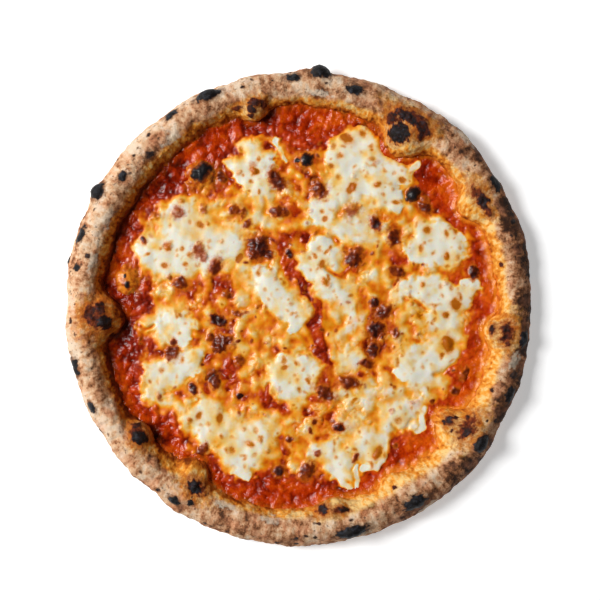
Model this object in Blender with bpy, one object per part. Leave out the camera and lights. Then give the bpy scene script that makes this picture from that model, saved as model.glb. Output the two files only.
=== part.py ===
"""Margherita pizza: raised blistered dough, tomato sauce and melted mozzarella.

Metres, +Z up, -Y towards the eater. The origin is in the middle of the flat underside, on the table.
Sizes are typed in millimetres and angles in degrees, anticlockwise from +X as seen from above.
"""

import math

import bmesh
import bpy
from mathutils import Matrix, Vector

MM = 0.001
GAP = 0.3 * MM  # air left between layers that touch

# Driving sizes of the dough: a flat floor inside a puffed rim.
FLOOR_TOP = 4.5 * MM
RIM_FOOT = 131 * MM  # where the rim rises from the floor
RIM_EDGE = 157 * MM  # widest radius
RIM_CREST = 22 * MM
TURN_STEPS = 80

# Layers on the floor.
SAUCE_THICKNESS = 1.9 * MM
SAUCE_TOP = FLOOR_TOP + GAP + SAUCE_THICKNESS
SAUCE_SHELVING = 0.7 * MM  # how much lower the sauce lies along the rim
SAUCE_SHORE = 8 * MM  # width of the strip that shelves down
SAUCE_MIDDLE = 71 * MM  # a ring of points here keeps the sauce's long faces even
CHEESE_BEVEL = 0.9 * MM
CHEESE_ROUNDING = 2  # steps between two points of an outline

# How finely the round helper shapes are cut: segments round, then rings.
BUBBLE_FACETS = (16, 9)
BLISTER_FACETS = (10, 7)
SHARP_ANGLE = math.radians(50)

# Radius and height for the turned section of the dough, from the middle of the underside
# round the rim to the middle of the floor.
DOUGH_SECTION = [
    (0, 0),
    (75, 0),
    (131, 0),
    (147, 0),
    (153, 1.4),
    (156.2, 4.6),
    (157, 8.6),
    (156, 13.2),
    (153.2, 17.6),
    (149, 20.8),
    (144.5, 22),
    (140, 20.9),
    (136.2, 17.6),
    (133.2, 12.6),
    (131.6, 8),
    (131, 4.5),
    (75, 4.5),
    (0, 4.5),
]

# The hand-stretched ring, every 15 degrees: outer radius and foot; and every 30 degrees: height.
EDGE_RADII = [
    154.6, 156.3, 157.2, 159.0, 157.8, 157.3, 158.2, 157.0, 157.0, 157.5, 157.0, 156.2,
    155.0, 156.6, 156.8, 156.6, 158.6, 158.2, 159.2, 158.6, 157.6, 157.8, 155.4, 155.0,
]  # fmt: skip
FOOT_RADII = [
    131, 131, 131, 133, 131, 132, 133, 132, 132, 130, 130, 130,
    130, 131, 132, 131, 131, 134, 133, 131, 129, 130, 130, 129,
]  # fmt: skip
CREST_HEIGHTS = [20.0, 20.5, 23.5, 21.0, 21.5, 24.0, 23.5, 23.0, 20.5, 22.5, 23.5, 21.0]

# Bubbles blown in the dough: angle, radius of the middle, height of the middle,
# then half-sizes along the rim, across it and upwards.
RIM_BUBBLES = [
    (58, 134, 11, 16.5, 14.5, 14.5),
    (182.5, 131, 10, 15.5, 13.5, 14),
    (103, 135.5, 11, 10.5, 9, 11),
    (322, 129, 7, 13, 12.5, 11),
    (353, 133, 8, 12.5, 10, 11),
    (279.5, 135.5, 11, 14, 8, 10.5),
    (218, 136, 12, 11, 9, 10),
    (237, 132.5, 8, 11.5, 10.5, 10.5),
    (31, 134, 9, 12, 10, 11),
    (298, 132, 9, 9, 6, 8),
]
EDGE_BLISTERS = [
    (85, 154, 13.5, 6, 6.5, 6),
    (113.5, 150, 17, 8.5, 5.5, 6),
    (150, 152, 14, 6.5, 6, 7),
    (46.5, 153.5, 12, 10, 7, 7.5),
    (225.5, 152, 14, 6.5, 6, 7),
    (283, 151, 17, 11, 6, 6.5),
    (301, 149.5, 17, 9, 6, 6.5),
    (323, 148, 17, 8, 6, 6.5),
]
FLOOR_BUBBLES = [
    (126.5, 112, 4.5, 10.5, 9.5, 8),
    (88, 98, 4.5, 10, 8, 7),
    (44.5, 106.5, 4.5, 6, 6, 6.5),
    (171.5, 116, 4.5, 10.5, 9.5, 7.5),
]
BUBBLE_FLOOR = 1.5 * MM  # a bubble is cut off this far above the table

# Melted pieces of mozzarella: thickness, then the outline as x and y.
CHEESE_PIECES = [
    (3.0, [(-50, 96), (-42, 86), (-29, 73), (-17, 74), (-18, 90), (-14, 109), (-25, 115), (-43, 111)]),
    (3.4, [(79, 95), (69, 82), (70, 67), (62, 62), (46, 71), (28, 70), (23, 57), (14, 54), (5, 63),
           (4, 72), (19, 77), (17, 96), (25, 114), (42, 123), (51, 115), (55, 102)]),
    (2.4, [(23, 53), (29, 44), (42, 40), (50, 49), (40, 60), (27, 61)]),
    (3.2, [(15, 48), (27, 38), (24, 22), (37, 18), (36, 4), (27, -2), (8, 15), (-3, 35), (5, 45)]),
    (2.8, [(112, 41), (105, 53), (88, 59), (72, 47), (74, 33), (98, 27)]),
    (3.2, [(70, 19), (90, 24.5), (103, 17), (113, 18), (121, 11), (107, -4), (107, -16), (90, -16),
           (81, -1), (63, 12)]),
    (3.4, [(63, -42), (66, -32), (87, -24), (106, -28), (102, -38), (81, -54), (69, -50)]),
    (3.2, [(-23, -45), (-15, -36), (12, -32), (17, -47), (-3, -64), (-16, -60)]),
    (2.9, [(-77, -64), (-80, -76), (-56, -98), (-50, -108), (-31, -111), (-19, -94), (-17, -73),
           (-36, -74), (-60, -61)]),
    (2.6, [(-109, -11), (-96, -5), (-81, 0), (-70, -15), (-78, -27), (-92, -20)]),
    (2.2, [(-101, -39), (-84, -31), (-62, -30), (-64, -41), (-84, -53), (-101, -64), (-106, -52)]),
    (3.4, [(-109, 38), (-93, 22), (-67, 23), (-40, 32), (-36, 50), (-58, 60), (-74, 74), (-92, 71),
           (-100, 54)]),
    (3.2, [(-34, 19), (-24, 28), (-9, 15), (4, -5), (0, -18), (-9, -12), (-29, 7)]),
    (2.8, [(30, -89), (50, -81), (59, -88), (53, -106), (40, -98)]),
    (2.5, [(6, -98), (17, -89), (28, -94), (36, -115), (29, -115), (12, -104)]),
    (2.6, [(58, -66), (71, -63), (74, -78), (61, -83)]),
    (2.2, [(22, -34), (34, -28), (42, -35), (31, -40)]),
]  # fmt: skip

COLOURS = {  # linear RGB and roughness
    "baked dough": ((0.56, 0.31, 0.15), 0.75),
    "tomato sauce": ((0.50, 0.06, 0.01), 0.30),
    "melted mozzarella": ((0.80, 0.68, 0.42), 0.35),
}


def clear_scene():
    for obj in list(bpy.data.objects):
        bpy.data.objects.remove(obj)


def new_collection(name):
    collection = bpy.data.collections.new(name)
    bpy.context.scene.collection.children.link(collection)
    return collection


def new_material(name):
    colour, roughness = COLOURS[name]
    material = bpy.data.materials.new(name)
    material.use_nodes = True
    shader = material.node_tree.nodes["Principled BSDF"]
    shader.inputs["Base Color"].default_value = (*colour, 1)
    shader.inputs["Roughness"].default_value = roughness
    material.diffuse_color = (*colour, 1)
    return material


def around(values, degrees):
    """The value at an angle, on a smooth closed curve through values spaced evenly round the circle."""
    place = degrees % 360 / 360 * len(values)
    first = int(place)
    t = place - first
    before, start, end, after = (values[(first + i) % len(values)] for i in (-1, 0, 1, 2))
    leave, arrive = (end - before) / 2, (after - start) / 2
    rise = end - start
    return start + t * (leave + t * (3 * rise - 2 * leave - arrive + t * (leave + arrive - 2 * rise)))


def on_ring(degrees, radius, height=0.0):
    angle = math.radians(degrees)
    return Vector((radius * math.cos(angle), radius * math.sin(angle), height))


def turned(name, section, material, collection):
    """A closed solid of revolution about Z, from a section that starts and ends on the axis."""
    bm = bmesh.new()
    verts = [bm.verts.new((radius, 0, height)) for radius, height in section]
    edges = [bm.edges.new(pair) for pair in zip(verts, verts[1:])]
    bmesh.ops.spin(
        bm,
        geom=verts + edges,
        cent=(0, 0, 0),
        axis=(0, 0, 1),
        angle=math.tau,
        steps=TURN_STEPS,
        use_merge=True,
    )
    bmesh.ops.remove_doubles(bm, verts=bm.verts, dist=0.01 * MM)
    bmesh.ops.recalc_face_normals(bm, faces=bm.faces)
    mesh = bpy.data.meshes.new(name)
    bm.to_mesh(mesh)
    bm.free()
    mesh.materials.append(material)
    obj = bpy.data.objects.new(name, mesh)
    collection.objects.link(obj)
    return obj


def shade_round(obj):
    obj.data.shade_smooth()
    obj.data.set_sharp_from_angle(angle=SHARP_ANGLE)


def stretch_by_hand(obj):
    """Turns the even ring into the hand-stretched one: its foot, edge and crest wander with the angle."""
    for vertex in obj.data.vertices:
        x, y, z = vertex.co
        radius, degrees = math.hypot(x, y), math.degrees(math.atan2(y, x))
        foot = around(FOOT_RADII, degrees) * MM
        edge = around(EDGE_RADII, degrees) * MM
        crest = around(CREST_HEIGHTS, degrees) * MM
        if radius <= RIM_FOOT:
            radius *= foot / RIM_FOOT
        else:
            radius = foot + (radius - RIM_FOOT) / (RIM_EDGE - RIM_FOOT) * (edge - foot)
        if z > FLOOR_TOP:
            z = FLOOR_TOP + (z - FLOOR_TOP) / (RIM_CREST - FLOOR_TOP) * (crest - FLOOR_TOP)
        vertex.co = on_ring(degrees, radius, z)


def add_bubble(name, shape, grown_by, facets, collection):
    """A flattened ball that stands for one gas bubble. It only shapes the solids, so it isn't rendered."""
    degrees, radius, height, along, across, up = shape
    segments, rings = facets
    bm = bmesh.new()
    bmesh.ops.create_uvsphere(bm, u_segments=segments, v_segments=rings, radius=1)
    sizes = Vector((across, along, up)) * MM + Vector((grown_by,) * 3)
    turn = Matrix.Rotation(math.radians(degrees), 4, "Z")
    place = Matrix.Translation(on_ring(degrees, radius * MM, height * MM))
    bm.transform(place @ turn @ Matrix.Diagonal(sizes).to_4x4())
    whole = bm.verts[:] + bm.edges[:] + bm.faces[:]
    bmesh.ops.bisect_plane(
        bm,
        geom=whole,
        plane_co=(0, 0, BUBBLE_FLOOR),
        plane_no=(0, 0, 1),
        clear_inner=True,
    )
    bmesh.ops.holes_fill(bm, edges=bm.edges)
    bmesh.ops.recalc_face_normals(bm, faces=bm.faces)
    mesh = bpy.data.meshes.new(name)
    bm.to_mesh(mesh)
    bm.free()
    obj = bpy.data.objects.new(name, mesh)
    obj.hide_render = True
    obj.display_type = "WIRE"
    collection.objects.link(obj)


def combine(obj, operation, collection):
    modifier = obj.modifiers.new(operation.lower(), "BOOLEAN")
    modifier.operation = operation
    modifier.operand_type = "COLLECTION"
    modifier.collection = collection
    modifier.solver = "EXACT"


def make_dough(collection):
    section = [(radius * MM, height * MM) for radius, height in DOUGH_SECTION]
    dough = turned("dough", section, new_material("baked dough"), collection)
    stretch_by_hand(dough)
    shade_round(dough)
    bubbles = new_collection("dough bubbles")
    for number, shape in enumerate(RIM_BUBBLES + FLOOR_BUBBLES, 1):
        add_bubble(f"bubble {number}", shape, 0, BUBBLE_FACETS, bubbles)
    for number, shape in enumerate(EDGE_BLISTERS, 1):
        add_bubble(f"blister {number}", shape, 0, BLISTER_FACETS, bubbles)
    combine(dough, "UNION", bubbles)
    return dough


def make_sauce(collection):
    """A flat layer that follows the foot of the rim, shelves down along it, and lets the bubbles through."""
    bottom, edge = FLOOR_TOP + GAP, RIM_FOOT - 2 * GAP
    section = [
        (0, bottom),
        (SAUCE_MIDDLE, bottom),
        (edge, bottom),
        (edge, SAUCE_TOP - SAUCE_SHELVING),
        (edge - SAUCE_SHORE, SAUCE_TOP),
        (SAUCE_MIDDLE, SAUCE_TOP),
        (0, SAUCE_TOP),
    ]
    sauce = turned("tomato_sauce", section, new_material("tomato sauce"), collection)
    for vertex in sauce.data.vertices:
        x, y, z = vertex.co
        radius, degrees = math.hypot(x, y), math.degrees(math.atan2(y, x))
        vertex.co = on_ring(degrees, radius * around(FOOT_RADII, degrees) * MM / RIM_FOOT, z)
    shade_round(sauce)
    cutters = new_collection("sauce cutters")
    for number, shape in enumerate(RIM_BUBBLES + FLOOR_BUBBLES, 1):
        add_bubble(f"cutter {number}", shape, 2 * GAP, BUBBLE_FACETS, cutters)
    combine(sauce, "DIFFERENCE", cutters)
    return sauce


def make_cheese(name, thickness, outline, material, collection):
    """One melted piece: a smooth closed outline, extruded with a bevelled edge, lying on the sauce."""
    curve = bpy.data.curves.new(name, "CURVE")
    curve.dimensions = "2D"
    curve.fill_mode = "BOTH"
    curve.resolution_u = CHEESE_ROUNDING
    curve.extrude = thickness / 2 - CHEESE_BEVEL
    curve.bevel_depth = CHEESE_BEVEL
    curve.bevel_resolution = 0
    curve.offset = -CHEESE_BEVEL
    spline = curve.splines.new("BEZIER")
    spline.use_cyclic_u = True
    spline.bezier_points.add(len(outline) - 1)
    for point, (x, y) in zip(spline.bezier_points, outline):
        point.co = (x * MM, y * MM, 0)
        point.handle_left_type = point.handle_right_type = "AUTO"
    curve.materials.append(material)
    obj = bpy.data.objects.new(name, curve)
    obj.location.z = SAUCE_TOP + GAP + thickness / 2
    collection.objects.link(obj)
    return obj


def main():
    clear_scene()
    pizza = new_collection("margherita pizza")
    make_dough(pizza)
    make_sauce(pizza)
    cheese = new_material("melted mozzarella")
    for number, (thickness, outline) in enumerate(CHEESE_PIECES, 1):
        make_cheese(f"mozzarella_{number:02d}", thickness * MM, outline, cheese, pizza)


main()
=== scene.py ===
"""The looks of a margherita pizza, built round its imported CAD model.

The dough is a turned ring wrapped onto the CAD dough, then puffed and blistered. The sauce and the melted
cheese are relief sheets inside its rim: where the cheese runs thin it dips under the sauce.
Lengths are typed in millimetres, but the studio's in metres. Angles are typed in degrees, anticlockwise
from +X as seen from above.
"""

import math
import random

import bmesh
import bpy
import numpy as np
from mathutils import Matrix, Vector, noise
from mathutils.bvhtree import BVHTree


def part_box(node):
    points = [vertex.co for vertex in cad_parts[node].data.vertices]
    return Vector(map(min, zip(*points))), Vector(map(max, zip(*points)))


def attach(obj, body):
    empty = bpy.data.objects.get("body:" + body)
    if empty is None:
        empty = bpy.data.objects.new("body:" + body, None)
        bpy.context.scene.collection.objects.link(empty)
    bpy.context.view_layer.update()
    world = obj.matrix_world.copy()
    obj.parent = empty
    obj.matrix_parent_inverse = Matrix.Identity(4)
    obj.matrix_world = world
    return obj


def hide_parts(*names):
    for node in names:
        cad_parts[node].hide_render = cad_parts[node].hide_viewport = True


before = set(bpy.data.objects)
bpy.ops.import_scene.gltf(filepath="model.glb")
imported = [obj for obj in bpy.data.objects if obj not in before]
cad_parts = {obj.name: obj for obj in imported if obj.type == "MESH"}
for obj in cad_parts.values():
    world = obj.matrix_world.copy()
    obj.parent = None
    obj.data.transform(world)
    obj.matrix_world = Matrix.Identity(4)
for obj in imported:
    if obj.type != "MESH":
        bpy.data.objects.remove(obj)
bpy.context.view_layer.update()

MM = 0.001

# ---------------------------------------------------------------- sizes worked out from the frame

DOUGH_LOW, DOUGH_HIGH = (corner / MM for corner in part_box("dough"))
SAUCE_LOW, SAUCE_HIGH = (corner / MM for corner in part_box("tomato_sauce"))
CHEESE_NODES = sorted(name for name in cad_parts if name.startswith("mozzarella"))
EDGE = (DOUGH_HIGH.x - DOUGH_LOW.x + DOUGH_HIGH.y - DOUGH_LOW.y) / 4  # mean outer radius
FLOOR = SAUCE_LOW.z - 0.3  # top of the dough under the sauce
SAUCE = SAUCE_HIGH.z
CORE = EDGE - 13  # middle of the rim's section
CORE_HEIGHT = 10.5
SKIRT_END = FLOOR + 0.4  # how far down the sheets' skirts go
SHEET_HALF_SIZE = EDGE - 20  # of the square from which a sheet is cut

# ---------------------------------------------------------------- the dough as turned, before it is wrapped

TURNED_RADIUS = 10  # of the rim's section
SECTION_TURN = (207, -95)  # the angles between which it is turned, 0 outwards and 90 up
FLOOR_RADII = (0, 40, 85, 110, 122)
UNDERSIDE_RADII = (136, 120, 85, 40, 0)
TURNED_FOOT = 128  # where the floor meets the rim

# ---------------------------------------------------------------- mesh fineness

RIM_STEPS = 840
RIM_ANGLES = np.arange(RIM_STEPS) * 360 / RIM_STEPS
RIM_SECTION = 94  # points round the rim's section
SAUCE_SPACING = 0.95
CHEESE_SPACING = 0.75
TOUCHING = 0.001 * MM  # points this close are joined

# ---------------------------------------------------------------- what the oven did, place by place, with some painted shade

# Char on the rim: angle, radius, half-length along the rim, half-width across it, how far it stands proud.
RIM_CHARS = [
    (9.5, 152, 7.5, 3.2, 0.6), (22, 152, 2.2, 2.2, 0), (32.5, 153, 6, 3, 0.3), (11.8, 136, 1.8, 1.6, 0),
    (76, 155, 2.5, 1.6, 0), (76, 148, 5.5, 3.5, 0.2), (85, 156.5, 7, 4.6, 1.6), (91.8, 152, 5, 2.6, 0.4),
    (92, 158, 2.5, 1.5, 0), (96.8, 151, 1.2, 1.1, 0), (102, 153, 1.3, 1.1, 0), (104.5, 149, 1.5, 1.2, 0),
    (113, 152.3, 9, 3.6, 1.2), (124, 153, 4.6, 2.6, 0.5), (131, 151, 1.7, 1.5, 0), (133, 156, 1.2, 1, 0),
    (136.2, 154.5, 2.4, 1.9, 0.2), (137.5, 147.5, 1.4, 1.3, 0), (134.5, 140, 3.6, 3, 0),
    (143.5, 144.5, 3.4, 2.8, 0.3), (143.5, 152.5, 0.9, 1.4, 0), (150, 154, 6, 4.2, 1.3),
    (161.5, 152, 7, 2.4, 0.6), (166.5, 143.5, 1.8, 1.8, 0), (168.3, 155.5, 3, 1.8, 0.2),
    (169.5, 149, 2.2, 2, 0.2), (172, 153, 2.3, 1, 0), (176.3, 155, 2.2, 1.3, 0),
    (183.5, 150.5, 2.2, 1.2, 0), (191.2, 154.3, 3, 2.6, 0.3), (195, 153.2, 7, 2.9, 0.6),
    (205.5, 151, 4, 2.3, 0.5), (211.7, 156, 2.2, 1.6, 0.2), (216.3, 154.5, 2.4, 1.3, 0),
    (225.3, 154.6, 5.5, 3.2, 1.2), (232.2, 152, 2, 1.4, 0), (236.8, 151.5, 4.2, 2.6, 0.3),
    (239, 158, 2.6, 1.2, 0), (240.8, 147.5, 2.6, 2.2, 0.3), (240.3, 138, 3.4, 3, 0.2),
    (244, 153, 1.4, 1, 0), (246.3, 155.5, 1.6, 1.2, 0), (253.5, 155.5, 3.2, 1.1, 0),
    (257.5, 157, 5, 1.9, 0.4), (261.5, 153, 1.8, 3.2, 0), (264.5, 155.5, 2, 1.4, 0),
    (269, 157, 2, 1.2, 0), (269, 152, 1.7, 1.4, 0), (271.5, 150, 1.6, 1.3, 0), (274, 151.5, 1.8, 1.3, 0),
    (275.3, 143, 1.4, 1.2, 0), (283.3, 151.7, 11, 4, 1.1), (297.8, 134, 2, 1.7, 0),
    (300.4, 149.2, 8.6, 4.1, 1.1), (323.3, 148.7, 7, 3.8, 1.2), (329.8, 150, 2, 1.6, 0),
    (328.8, 144, 1.2, 1, 0), (337, 138, 1.8, 1.7, 0), (337.3, 149.7, 6.5, 3.2, 0.8),
    (342.5, 148, 3.6, 2.8, 0), (352.5, 150, 6, 2.8, 0.5), (57.5, 147.5, 2, 1.4, 0),
    (19, 147, 1.4, 1.1, 0), (46, 147, 1.2, 1, 0),
]
# Char on the bubbles inside the rim, with the same numbers; the last says how brown, not black, it is.
BUBBLE_CHARS = [
    (60.3, 131.5, 6.4, 6.6, 0), (61, 143.5, 9, 3.8, 0.1), (55.8, 142.5, 7, 4.4, 0.2),
    (59.5, 145, 12, 5, 0.45), (64, 139, 4, 5, 0.3), (55, 139, 3, 4, 0.35), (30, 139.5, 4.8, 3.8, 0.1),
    (33, 139, 7, 4.4, 0.55), (27, 140, 5, 3, 0.5), (102.3, 138.5, 4.4, 3, 0.3),
    (103.6, 134.5, 3, 3, 0.15), (104, 131, 2, 2, 0.25), (100.5, 136, 3, 4, 0.5), (107, 138, 4, 2, 0.5),
    (181.5, 136.5, 7, 5, 0.35), (184.5, 129, 4.2, 4.5, 0.05), (180, 130.5, 4, 3.6, 0.25),
    (188, 126, 2.4, 2, 0.2), (183, 134, 9, 8, 0.6), (218.8, 136.5, 4.6, 4.2, 0.05),
    (216, 133, 2.4, 2.6, 0.2), (217.5, 135.5, 7, 6, 0.55), (239, 137, 3.6, 4, 0.1),
    (240, 137, 8, 5.5, 0.5), (277, 133.8, 3.2, 2.8, 0.1), (276.5, 134, 5.2, 4.2, 0.5),
    (282.6, 136.5, 3, 2, 0.1), (281, 136, 6, 3, 0.6), (323, 137.5, 3, 2.6, 0.1),
    (326.6, 133, 1.8, 2, 0.25), (324.5, 136.5, 10, 6, 0.5), (323, 124.5, 2.6, 2, 0.1),
    (321.6, 122.5, 1.4, 2, 0.1), (324.8, 126.5, 1.4, 1.6, 0.15), (321, 128.5, 1.8, 1, 0.1),
    (322.8, 124, 5, 3.6, 0.65), (353.8, 137.3, 2, 2.6, 0.2), (352, 137, 1.8, 2.6, 0.25),
    (353, 138, 9, 5, 0.5), (353.7, 128.5, 2.8, 1.4, 0.15), (353.5, 128.3, 4, 2.6, 0.6),
    (350, 139.5, 2, 1.6, 0.35),
]
# How dark, brown and oily the rim's inner wall is, every 30 degrees from 0: partly baked brown and oil,
# partly painted shade on the left, where the wall faces away from the window.
WALL_BROWN_AND_SHADE = [0.3, 0.35, 0.6, 0.5, 0.5, 0.85, 0.95, 0.9, 0.55, 0.25, 0.1, 0.3]
# How dark the outer wall is, every 30 degrees from 0: partly baked brown, partly painted shade on the
# right, the side away from the window.
OUTER_BROWN_AND_SHADE = [0.8, 0.56, 0.3, 0.2, 0.18, 0.15, 0.1, 0.1, 0.28, 0.2, 0.34, 0.74]
# How orange and oily the ring of sauce is, every 30 degrees from 0: 0 deep red, 1 orange.
SAUCE_ORANGE = [0.92, 0.7, 0.35, 0.3, 0.1, 0.15, 0.2, 0.15, 0.35, 0.3, 0.7, 0.8]
# Where the ring of sauce is lighter or darker: angle, radius, half-length, half-width, how much lighter.
SAUCE_PATCHES = [
    (38, 125, 13, 7, 0.9), (84, 121, 10, 9, 0.5), (48.5, 122, 3, 8, -0.7), (18, 127, 6, 4, -0.2),
    (25, 127, 6, 4, 0.3), (123.5, 127.5, 9, 5, 0.6), (134, 122, 8, 8, -0.5), (118, 130, 4, 5, -0.5),
    (110, 124, 8, 5, 0.5), (98, 128, 4, 4, -0.5), (93, 124, 6, 8, 0.2), (146, 125, 10, 4, 0.3),
    (161, 125, 8, 4, 0.2), (168, 121, 8, 8, 0.5), (188, 121, 7, 8, -0.8), (197, 125, 8, 6, 0.4),
    (206.5, 127, 7, 5, 0.6), (216, 120, 5, 7, 0.5), (222, 127, 6, 5, -0.7), (227.5, 125, 6, 8, 0.9),
    (237, 123, 8, 6, 0.4), (244.5, 127, 3, 6, -0.4), (253.5, 127, 5, 7, 0.8), (283, 122, 4, 8, -0.3),
    (297, 125, 6, 6, 0.4), (304, 119, 6, 9, -0.6), (314, 125, 8, 8, 0.9), (308, 128, 5, 4, 0.5),
    (331, 121, 9, 8, -0.2), (343, 126, 11, 5, 0.4), (336, 117, 5, 6, -0.5), (350, 121, 5, 5, 0.2),
    (6, 126, 8, 6, 0.2), (272, 121, 9, 7, 0.2), (258, 118, 6, 8, -0.2),
]
# Dry flour left on the rim: angle, radius, half-length, half-width.
FLOUR = [
    (85, 141.5, 11, 2.4), (127, 139.5, 9, 3), (155, 139, 8, 3), (167.5, 139, 7, 3), (249, 139, 10, 2.6),
    (46, 157, 10, 3.6), (215, 143, 8, 4), (262, 141, 8, 3), (92, 152, 6, 4), (346, 146, 8, 4),
    (303, 157, 8, 2.5),
]
# Golden skin on the bubbles inside the rim, with the same numbers.
GOLDEN = [
    (60, 129, 13, 9), (103, 134, 9, 6), (181, 131, 16, 9), (218, 132, 9, 7), (239, 133, 13, 7),
    (323, 129, 11, 8), (353, 130, 8, 7), (283, 135, 16, 5), (35, 137, 12, 4),
]
# Dough bubbles that stand up through the topping: x, y, half-sizes in x and y, height above the sauce.
LONE_BUBBLES = [
    (-66, 88.5, 11, 11, 4.5), (-115, 18, 8.6, 11.5, 3.6), (3.5, 98, 7.5, 6.5, 3.4),
    (75.5, 75, 5, 5.6, 3.6),
]
# Their char, with the half-sizes turned by an angle: x, y, half-length, half-width, angle.
LONE_CHARS = [
    (-65, 90.2, 6.8, 5.2, 30), (-70, 87.6, 2.2, 2, 60), (-114.5, 15, 2.4, 1.7, 80),
    (-116, 21, 0.8, 1.4, 0), (5, 98.3, 4.4, 3.6, 80), (-1.5, 98, 1.8, 1.4, 0), (75.5, 75.5, 5.4, 3.8, 50),
]

# The cheese's own browned bubbles between the white pools: x, y, radius, darkness.
BLISTERS = [
    (-15, 85, 4.6, 0.75), (-14, 64, 3.8, 0.7), (-43, 65, 3.4, 0.6), (-37, 63, 2.6, 0.45),
    (-27, 40, 6, 0.85), (-22, 36, 3.4, 0.8), (-31, 35, 3, 0.6), (-7, 36, 2.2, 0.9), (-52, 87, 3, 0.7),
    (-56, 27, 3.6, 0.7), (-79, 16, 3.6, 0.7), (-54, -9, 3.6, 1), (-53, -24, 4.6, 0.8),
    (-59, -20, 2.6, 0.6), (-48, -22, 3, 0.7), (-57, -48, 4.2, 0.75), (-71, -54, 2.7, 0.95),
    (-40, -59, 1.7, 1.1), (-85, -30, 4, 0.6), (-84, -23, 2, 0.6), (13, 79, 4.4, 0.7), (35, 65, 4.2, 0.4),
    (29, 62, 2.4, 0.3), (51, 56, 3.1, 0.85), (63, 47, 3.8, 0.8), (65, 24, 3.6, 0.7), (36, 32, 4.4, 0.75),
    (39, 37, 3, 0.6), (50, 3, 2.4, 1), (56, -3, 4.2, 0.7), (51, -15, 4.6, 0.9), (49, -28, 3.4, 0.8),
    (64, -17, 2.6, 0.6), (45, -37, 3, 0.7), (33, -50, 4.2, 0.7), (17, -57, 4.6, 0.75), (26, -80, 2.4, 1),
    (5, -109, 4.2, 0.7), (-7, -88, 1.8, 0.7), (-14, -109, 2.8, 0.85), (10, -76, 1.5, 0.8),
    (7, -82, 1.5, 0.6), (111, -45, 3.4, 0.6), (12, -97, 1.8, 0.6), (37, -100, 2, 0.6),
    (-42, -4, 2.6, 0.55), (-40, -35, 3, 0.5), (-48, 8, 2.6, 0.5), (84, 66.5, 3.2, 0.85),
    (83.5, 71, 3, 0.4), (116.3, 23.7, 2.8, 1), (-104, 45, 1.8, 0.8), (-65, -96, 3, 0.75),
    (-81, 63, 3.6, 0.45), (-96, 61, 2.8, 0.35), (-67, 38, 3.8, 0.5), (-64, 33, 2.6, 0.4),
    (-88, 41, 2.6, 0.3), (-35, 55.5, 2.4, 0.5), (-64, 66, 2.6, 0.4), (22, -76, 1.2, 0.6),
    (104, -56, 2.4, 0.7), (-122, 31, 2.8, 0.85),
]
# Golden eyes in the white pools: x, y, radius.
EYES = [
    (-41, 103, 3.6), (-40, 90, 1.8), (-30, 91, 2.6), (-32, 84, 1.7), (-27, 77, 1.5), (31, 113, 3.6),
    (42, 116, 2.4), (23, 107, 1.8), (27, 101, 2.2), (48, 99, 2), (48, 105, 1.3), (21, 94, 2.1),
    (26, 87, 1.8), (35, 80, 3), (45, 90, 1.3), (52, 82, 2.2), (56, 75, 1.4), (68, 85, 2.2), (64, 70, 2),
    (50, 70, 1.5), (57, 70, 1.1), (17, 59, 2), (15, 64, 1.6), (-78, 71, 2.2), (-99, 48, 2), (-104, 43, 2),
    (-88, 40, 2.4), (-78, 39, 1.6), (-76, 29, 1.7), (-90, 28, 2.2), (-52, 44, 1.8), (-73, 57, 1.6),
    (-66, 55, 2.6), (-61, 56, 1.6), (-36, 57, 1.5), (-40, 33, 2.4), (-16, 19, 1.5), (-10, 16, 1.8),
    (-23, 12, 1.4), (-15, 12, 1), (-23, 0, 2), (-5, -4, 1.4), (-2, -6, 1), (-8, -11, 1.3), (13, 39, 1.8),
    (18, 37, 1.6), (7, 33, 1.6), (15, 29, 2.2), (17, 17, 2.6), (34, 8, 1.5), (85, 51, 2.4), (81, 40, 2.1),
    (104, 52, 2.6), (98, 49, 2), (98, 34, 2.2), (105, 33, 1.8), (83, 43, 1.3), (89, 36, 1.4),
    (82, 15, 1.9), (94, 14, 1.9), (101, 13, 1.9), (74, 14, 1.4), (95, 8, 1.2), (104, 2, 3.4),
    (97, -5, 2.2), (75, 3, 2), (80, -5, 2.8), (90, -8, 1.6), (76, -41, 1.2), (82, -30, 1.4),
    (94, -32, 1.4), (99, -24, 4.2), (97, -44, 2), (-10, -40, 2.2), (-3, -45, 1.3), (9, -45, 1),
    (5, -49, 1), (0, -55, 1.6), (7, -31, 1.4), (-67, -72, 2.1), (-73, -75, 1.9), (-53, -74, 2.6),
    (-29, -82, 1.9), (-26, -88, 2), (-33, -91, 2.6), (-37, -81, 1.6), (-30, -98, 1.8), (-45, -95, 2.4),
    (-80, -17, 1.2), (-80, -5, 2), (52, -97, 3.3), (66, -75, 2.4), (-92, -42, 2),
]

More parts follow.
